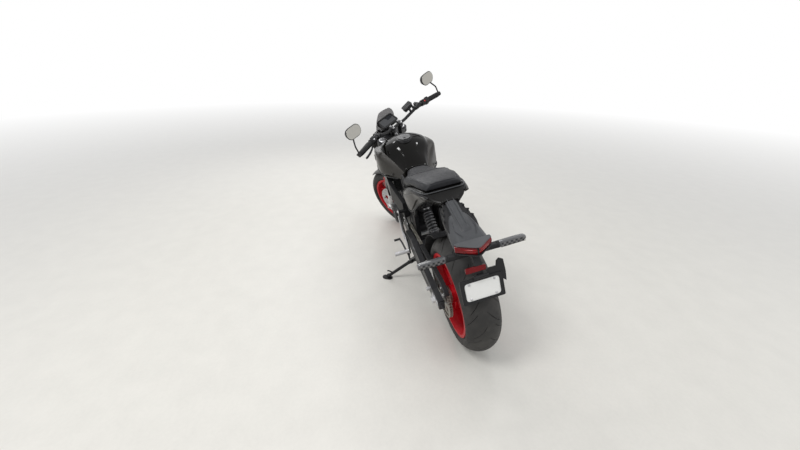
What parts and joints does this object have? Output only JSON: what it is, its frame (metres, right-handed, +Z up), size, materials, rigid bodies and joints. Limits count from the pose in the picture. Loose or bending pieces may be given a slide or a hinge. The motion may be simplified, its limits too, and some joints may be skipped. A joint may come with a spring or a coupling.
{
  "type": "naked roadster motorcycle",
  "caption": "Naked roadster motorcycle parked on its side stand, with steering, wheels, side stand and fuel cap that move.",
  "frame": {"origin": "centre of the parked motorcycle's box, on the floor", "axes": "+X towards the front wheel, +Y to the rider's left, +Z up; the motorcycle leans to +Y"},
  "size_m": [2.0604, 0.7768, 1.342],
  "materials": {
    "alloy": "bright machined alloy",
    "alloy_dark": "dark anodised alloy",
    "black_frame": "satin black powder coat",
    "black_gloss": "deep gloss black paint",
    "black_plastic": "black moulded plastic",
    "chain_steel": "oiled steel",
    "dark_grey": "matte dark grey",
    "engine_black": "black cast engine finish",
    "exhaust_steel": "dark coated exhaust steel",
    "fork_gold": "black anodised fork tube",
    "lamp_bar": "smoked grey lens bar",
    "lamp_glass": "clear lens",
    "lens_red": "deep red lens",
    "mirror": "mirror glass",
    "plate_white": "plain white plate",
    "rim_red": "deep red satin paint",
    "rubber": "ribbed rubber",
    "screen_tint": "brown tinted screen",
    "seat_cover": "charcoal seat cover",
    "steel_disc": "ground steel",
    "tail_grey": "matte grey, fine grain",
    "tyre_rubber": "dark grey rubber"
  },
  "bodies": {
    "chassis": {"chain": "chain_steel", "crankcase": "engine_black", "cylinders": "engine_black", "engine_covers": "engine_black", "exhaust": "exhaust_steel", "footrests": "alloy", "fuel_tank": "black_gloss", "main_frame": "black_frame", "number_plate": "plate_white", "pivot_bolt": "alloy", "plate_bracket": "black_plastic", "radiator": "black_plastic", "rear_axle": "alloy", "rear_caliper": "alloy_dark", "rear_hugger": "black_plastic", "rear_indicators": "lamp_bar", "rear_reflector": "lens_red", "rear_shock": "alloy_dark", "seat": "seat_cover", "seat_cowl": "dark_grey", "spool_bosses": "alloy", "swingarm": "alloy_dark", "tail_lamp": "lens_red", "tail_unit": "tail_grey", "tank_covers": "dark_grey", "stand_bracket": "black_frame"},
    "steering": {"controls": "black_plastic", "dash": "black_plastic", "flyscreen": "screen_tint", "fork_sliders": "alloy", "fork_tubes": "fork_gold", "front_calipers": "alloy_dark", "front_fender": "tail_grey", "grips": "rubber", "handlebar": "black_frame", "headlamp": "black_gloss", "headlamp_lens": "lamp_glass", "mirror_glass": "mirror", "mirrors": "black_plastic", "yokes": "alloy_dark"},
    "front_wheel": {"front_discs": "steel_disc", "front_rim": "rim_red", "front_tyre": "tyre_rubber"},
    "rear_wheel": {"rear_disc": "steel_disc", "rear_rim": "rim_red", "rear_sprocket": "chain_steel", "rear_tyre": "tyre_rubber"},
    "side_stand": {"side_stand": "black_frame"},
    "fuel_cap": {"fuel_cap": "alloy_dark"}
  },
  "joints": [
    {"name": "steering_turn", "type": "hinge", "parent": "chassis", "child": "steering", "pos_m": [0.53517, -0.04973, 0.70371], "axis": [-0.4169, 0.189, 0.8891], "range_deg": [-66, 0]},
    {"name": "front_wheel_spin", "type": "hinge", "parent": "steering", "child": "front_wheel", "pos_m": [0.76093, -0.12201, 0.28086], "axis": [-0.4951, 0.7731, -0.3965], "continuous": true},
    {"name": "rear_wheel_spin", "type": "hinge", "parent": "chassis", "child": "rear_wheel", "pos_m": [-0.7143, -0.13314, 0.31132], "axis": [0, 0.9781, -0.2079], "continuous": true},
    {"name": "stand_fold", "type": "hinge", "parent": "chassis", "child": "side_stand", "pos_m": [-0.16284, -0.02612, 0.19913], "axis": [0.1918, 0.6755, 0.712], "range_deg": [0, 108.05]},
    {"name": "cap_open", "type": "hinge", "parent": "chassis", "child": "fuel_cap", "pos_m": [0.18287, 0.00544, 0.96328], "axis": [0, 0.9781, -0.2079], "range_deg": [0, 100]}
  ]
}
